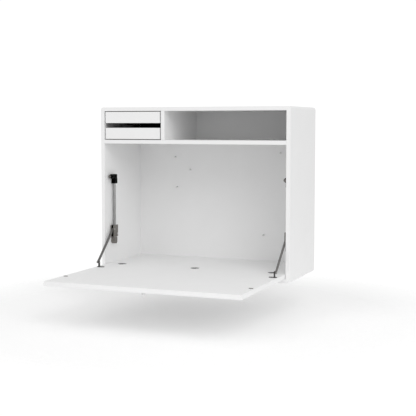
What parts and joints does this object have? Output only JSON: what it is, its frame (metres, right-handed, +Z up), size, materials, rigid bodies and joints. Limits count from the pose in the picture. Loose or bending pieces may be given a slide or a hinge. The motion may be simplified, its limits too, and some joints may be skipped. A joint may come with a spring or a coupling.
{
  "type": "wall-hung secretary desk",
  "caption": "Wall-hung secretary desk with a fold-down writing flap on braked stays, shallow tray drawers, an open shelf and a deep compartment.",
  "frame": {"origin": "on the wall plane, middle of the width, level with the lower face of the carcass", "axes": "+X to the viewer's right, +Y into the wall, +Z up; the front faces -Y"},
  "size_m": [0.82, 0.8434, 0.688],
  "materials": {
    "white_lacquer": "matt lacquer on fibreboard",
    "black_lacquer": "matt black stain",
    "beech": "raw",
    "black_plastic": "satin",
    "grey_plastic": "satin",
    "white_plastic": "gloss",
    "zinc_steel": "zinc plated",
    "nickel_metal": "satin nickel",
    "dark_metal": "dark nickel",
    "arm_steel": "satin",
    "satin_rod": "satin chrome",
    "knob_metal": "satin"
  },
  "bodies": {
    "carcass": {"left_side": "white_lacquer", "right_side": "white_lacquer", "top_panel": "white_lacquer", "bottom_panel": "white_lacquer", "back_panel": "white_lacquer", "shelf": "white_lacquer", "divider": "white_lacquer", "inner_floor": "white_lacquer", "dowels": "beech", "hanging_plates": "zinc_steel", "hanging_plate_screws": "zinc_steel", "drawer_runners": "grey_plastic", "drawer_runner_screws": "zinc_steel", "hinge_base_left": "nickel_metal", "hinge_base_centre": "nickel_metal", "hinge_base_right": "nickel_metal", "hinge_screws_floor": "zinc_steel", "stay_housing_left": "black_plastic", "stay_housing_right": "black_plastic", "stay_rods": "satin_rod", "rod_clips": "dark_metal", "stay_magnets": "dark_metal", "stay_wall_screws": "zinc_steel", "pegs": "white_plastic"},
    "flap": {"flap": "white_lacquer", "hinge_cup_left": "nickel_metal", "hinge_cup_centre": "nickel_metal", "hinge_cup_right": "nickel_metal", "hinge_pins": "zinc_steel", "hinge_screws_flap": "zinc_steel", "stay_foot_left": "arm_steel", "stay_foot_right": "arm_steel", "stay_foot_screws": "zinc_steel", "stay_foot_pins": "zinc_steel", "catch_plates": "dark_metal", "catch_plate_screws": "zinc_steel", "flap_knob": "knob_metal", "knob_stud": "zinc_steel"},
    "slider_left": {"stay_slider_left": "dark_metal", "slider_rivets_left": "zinc_steel", "brake_screw_left": "zinc_steel"},
    "arm_left": {"stay_arm_left": "arm_steel"},
    "slider_right": {"stay_slider_right": "dark_metal", "slider_rivets_right": "zinc_steel", "brake_screw_right": "zinc_steel"},
    "arm_right": {"stay_arm_right": "arm_steel"},
    "tray_lower": {"drawer_lower_front": "white_lacquer", "drawer_lower_left": "black_lacquer", "drawer_lower_right": "black_lacquer", "drawer_lower_back": "black_lacquer", "drawer_lower_floor": "black_lacquer"},
    "tray_upper": {"drawer_upper_front": "white_lacquer", "drawer_upper_left": "black_lacquer", "drawer_upper_right": "black_lacquer", "drawer_upper_back": "black_lacquer", "drawer_upper_floor": "black_lacquer"}
  },
  "joints": [
    {"name": "flap_hinge", "type": "hinge", "parent": "carcass", "child": "flap", "pos_m": [0, -0.3368, 0.0302], "axis": [-1, 0, 0], "range_deg": [0, 90]},
    {"name": "stay_slide_left", "type": "slide", "parent": "carcass", "child": "slider_left", "axis": [0, 0, 1], "range_m": [0, 0.13577]},
    {"name": "stay_arm_pivot_left", "type": "hinge", "parent": "flap", "child": "arm_left", "pos_m": [-0.38325, -0.438, 0.054], "axis": [1, 0, 0], "range_deg": [0, 134.4]},
    {"name": "stay_slide_right", "type": "slide", "parent": "carcass", "child": "slider_right", "axis": [0, 0, 1], "range_m": [0, 0.13577]},
    {"name": "stay_arm_pivot_right", "type": "hinge", "parent": "flap", "child": "arm_right", "pos_m": [0.38325, -0.438, 0.054], "axis": [1, 0, 0], "range_deg": [0, 134.4]},
    {"name": "tray_slide_lower", "type": "slide", "parent": "carcass", "child": "tray_lower", "axis": [0, -1, 0], "range_m": [0, 0.24]},
    {"name": "tray_slide_upper", "type": "slide", "parent": "carcass", "child": "tray_upper", "axis": [0, -1, 0], "range_m": [0, 0.24]}
  ],
  "couplings": [
    {"joint": "stay_slide_left", "follows": "flap_hinge", "m_per_rad": 0.08642},
    {"joint": "stay_arm_pivot_left", "follows": "flap_hinge", "ratio": 1.4933},
    {"joint": "stay_slide_right", "follows": "flap_hinge", "m_per_rad": 0.08642},
    {"joint": "stay_arm_pivot_right", "follows": "flap_hinge", "ratio": 1.4933}
  ]
}
